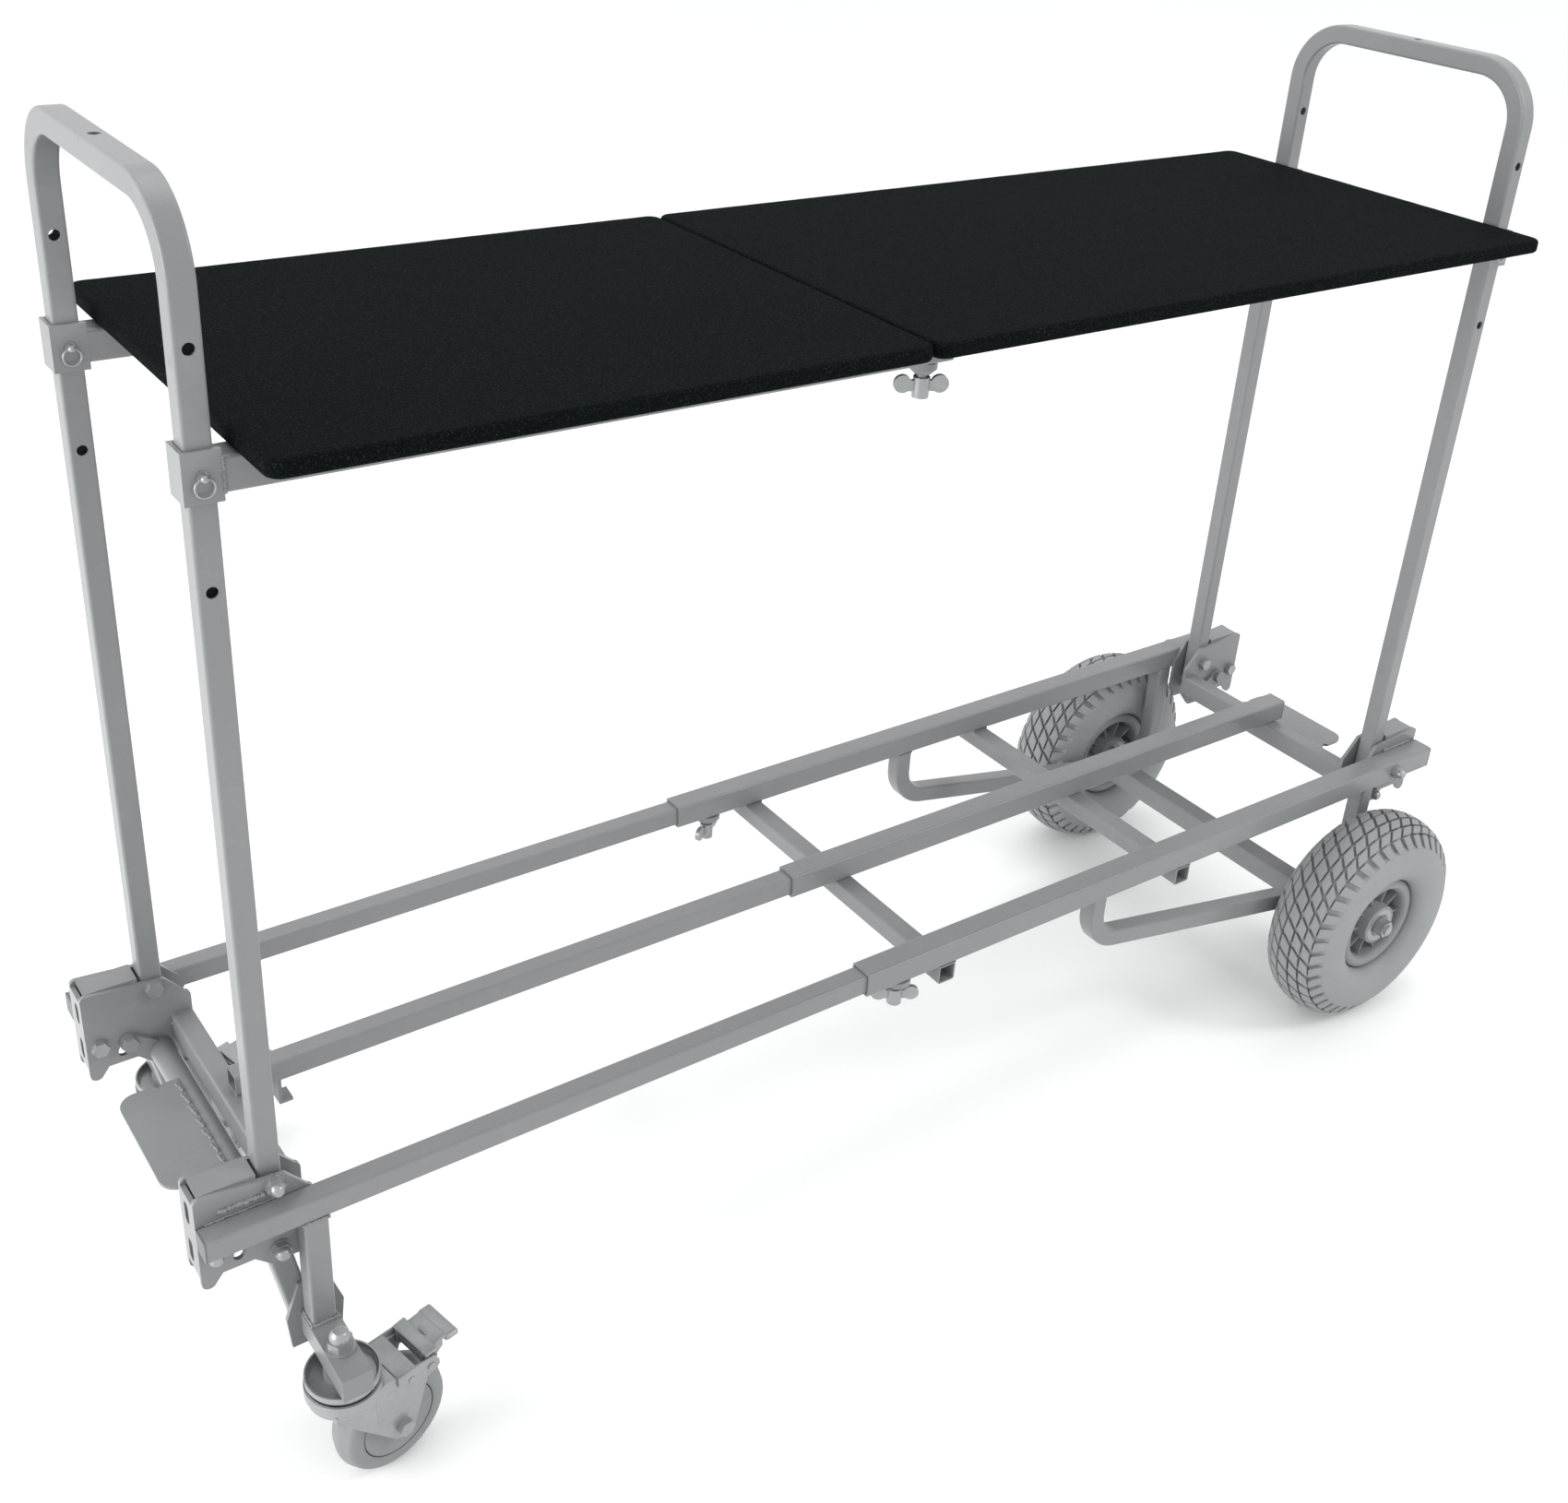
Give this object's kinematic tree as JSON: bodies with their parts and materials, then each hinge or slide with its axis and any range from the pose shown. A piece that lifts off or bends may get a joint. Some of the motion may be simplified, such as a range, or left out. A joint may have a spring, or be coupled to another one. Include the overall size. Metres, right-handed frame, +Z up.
{
  "type": "luggage cart",
  "caption": "Folding, telescoping equipment cart with a carpeted two-panel shelf, two big wheels and two swivel casters with brakes.",
  "frame": {"origin": "on the floor, midway between the two handles and on the cart's centre line", "axes": "+Z up, +X from the caster end to the big-wheel end, +Y across the cart to its left when facing +X"},
  "size_m": [1.448, 0.522, 1.055],
  "materials": {
    "frame_paint": "semi-gloss light grey powder coat",
    "zinc_steel": "bright zinc plate",
    "carpet": "short-pile charcoal carpet on board",
    "tyre_rubber": "matte block-tread pneumatic tyre",
    "caster_rubber": "satin grey tread",
    "rim_plastic": "moulded black rim",
    "black_plastic": "moulded plastic"
  },
  "bodies": {
    "base_frame": {"outer_side_rails": "frame_paint", "outer_middle_rail": "frame_paint", "cross_bars": "frame_paint", "wheel_loop_near": "frame_paint", "wheel_loop_far": "frame_paint", "wheel_end_brackets": "frame_paint", "wheel_end_handle": "frame_paint", "wheel_end_bolts": "zinc_steel", "axle_bolts": "zinc_steel", "shelf_brackets_wheel_end": "frame_paint", "shelf_arms_inner": "frame_paint", "shelf_bolts_wheel_end": "zinc_steel", "shelf_panel_long": "carpet", "rail_plugs_wheel_end": "black_plastic"},
    "caster_frame": {"inner_side_rails": "frame_paint", "inner_middle_rail": "frame_paint", "caster_end_cross_member": "frame_paint", "caster_end_brackets": "frame_paint", "caster_end_handle": "frame_paint", "caster_end_bolts": "zinc_steel", "caster_legs": "frame_paint", "leg_struts": "frame_paint", "leg_gussets": "frame_paint", "caster_stubs": "frame_paint", "caster_kingpins": "zinc_steel", "caster_top_races": "zinc_steel", "shelf_brackets_caster_end": "frame_paint", "shelf_arms_outer": "frame_paint", "shelf_bolts_caster_end": "zinc_steel", "rail_plugs_caster_end": "black_plastic"},
    "short_shelf": {"shelf_panel_short": "carpet"},
    "caster_end_pedal": {"caster_end_pedal_plate": "frame_paint", "caster_end_pedal_tube": "frame_paint", "caster_end_lock_levers": "frame_paint"},
    "wheel_end_pedal": {"wheel_end_pedal_plate": "frame_paint", "wheel_end_pedal_tube": "frame_paint", "wheel_end_lock_levers": "frame_paint"},
    "caster_fork_near": {"caster_fork_near": "zinc_steel", "caster_axle_near": "zinc_steel", "brake_housing_near": "zinc_steel"},
    "caster_wheel_near": {"caster_hub_near": "black_plastic", "caster_tyre_near": "caster_rubber"},
    "caster_brake_near": {"brake_pedal_near": "zinc_steel"},
    "big_wheel_near": {"tyre_near": "tyre_rubber", "rim_near": "rim_plastic", "wheel_bearings_near": "zinc_steel"},
    "rail_screw_near": {"rail_screw_near": "zinc_steel"},
    "arm_screw_near": {"arm_screw_near": "zinc_steel"},
    "caster_fork_far": {"caster_fork_far": "zinc_steel", "caster_axle_far": "zinc_steel", "brake_housing_far": "zinc_steel"},
    "caster_wheel_far": {"caster_hub_far": "black_plastic", "caster_tyre_far": "caster_rubber"},
    "caster_brake_far": {"brake_pedal_far": "zinc_steel"},
    "big_wheel_far": {"tyre_far": "tyre_rubber", "rim_far": "rim_plastic", "wheel_bearings_far": "zinc_steel"},
    "rail_screw_far": {"rail_screw_far": "zinc_steel"},
    "arm_screw_far": {"arm_screw_far": "zinc_steel"}
  },
  "joints": [
    {"name": "base_telescope", "type": "slide", "parent": "base_frame", "child": "caster_frame", "axis": [1, 0, 0], "range_m": [0, 0.288]},
    {"name": "shelf_fold", "type": "hinge", "parent": "base_frame", "child": "short_shelf", "pos_m": [-0.1191, 0, 0.9023], "axis": [0, 1, 0], "range_deg": [0, 180]},
    {"name": "caster_end_pedal", "type": "hinge", "parent": "caster_frame", "child": "caster_end_pedal", "pos_m": [-0.662, 0, 0.232], "axis": [0, -1, 0], "range_deg": [0, 20], "stiffness_Nm_per_rad": 2, "springref_deg": -20.05},
    {"name": "wheel_end_pedal", "type": "hinge", "parent": "base_frame", "child": "wheel_end_pedal", "pos_m": [0.662, 0, 0.232], "axis": [0, 1, 0], "range_deg": [0, 20], "stiffness_Nm_per_rad": 2, "springref_deg": -20.05},
    {"name": "caster_swivel_near", "type": "hinge", "parent": "caster_frame", "child": "caster_fork_near", "pos_m": [-0.638, -0.205, 0.11], "axis": [0, 0, 1], "continuous": true},
    {"name": "caster_roll_near", "type": "hinge", "parent": "caster_fork_near", "child": "caster_wheel_near", "pos_m": [-0.59887, -0.19668, 0.0508], "axis": [-0.2079, 0.9781, 0], "continuous": true},
    {"name": "caster_brake_near", "type": "hinge", "parent": "caster_fork_near", "child": "caster_brake_near", "pos_m": [-0.57149, -0.19086, 0.099], "axis": [-0.2079, 0.9781, 0], "range_deg": [0, 20]},
    {"name": "big_wheel_roll_near", "type": "hinge", "parent": "base_frame", "child": "big_wheel_near", "pos_m": [0.5924, -0.217, 0.127], "axis": [0, 1, 0], "continuous": true},
    {"name": "rail_screw_turn_near", "type": "hinge", "parent": "base_frame", "child": "rail_screw_near", "pos_m": [-0.06, -0.1645, 0.24], "axis": [0, 0, 1], "range_deg": [0, 360]},
    {"name": "arm_screw_turn_near", "type": "hinge", "parent": "caster_frame", "child": "arm_screw_near", "pos_m": [-0.077, -0.137, 0.85], "axis": [0, 0, 1], "range_deg": [0, 360]},
    {"name": "caster_swivel_far", "type": "hinge", "parent": "caster_frame", "child": "caster_fork_far", "pos_m": [-0.638, 0.205, 0.11], "axis": [0, 0, 1], "continuous": true},
    {"name": "caster_roll_far", "type": "hinge", "parent": "caster_fork_far", "child": "caster_wheel_far", "pos_m": [-0.59887, 0.21332, 0.0508], "axis": [-0.2079, 0.9781, 0], "continuous": true},
    {"name": "caster_brake_far", "type": "hinge", "parent": "caster_fork_far", "child": "caster_brake_far", "pos_m": [-0.57149, 0.21914, 0.099], "axis": [-0.2079, 0.9781, 0], "range_deg": [0, 20]},
    {"name": "big_wheel_roll_far", "type": "hinge", "parent": "base_frame", "child": "big_wheel_far", "pos_m": [0.5924, 0.217, 0.127], "axis": [0, 1, 0], "continuous": true},
    {"name": "rail_screw_turn_far", "type": "hinge", "parent": "base_frame", "child": "rail_screw_far", "pos_m": [-0.06, 0.1645, 0.24], "axis": [0, 0, 1], "range_deg": [0, 360]},
    {"name": "arm_screw_turn_far", "type": "hinge", "parent": "caster_frame", "child": "arm_screw_far", "pos_m": [-0.077, 0.137, 0.85], "axis": [0, 0, 1], "range_deg": [0, 360]}
  ],
  "couplings": [
    {"joint": "shelf_fold", "follows": "base_telescope", "rad_per_m": 10.908}
  ]
}
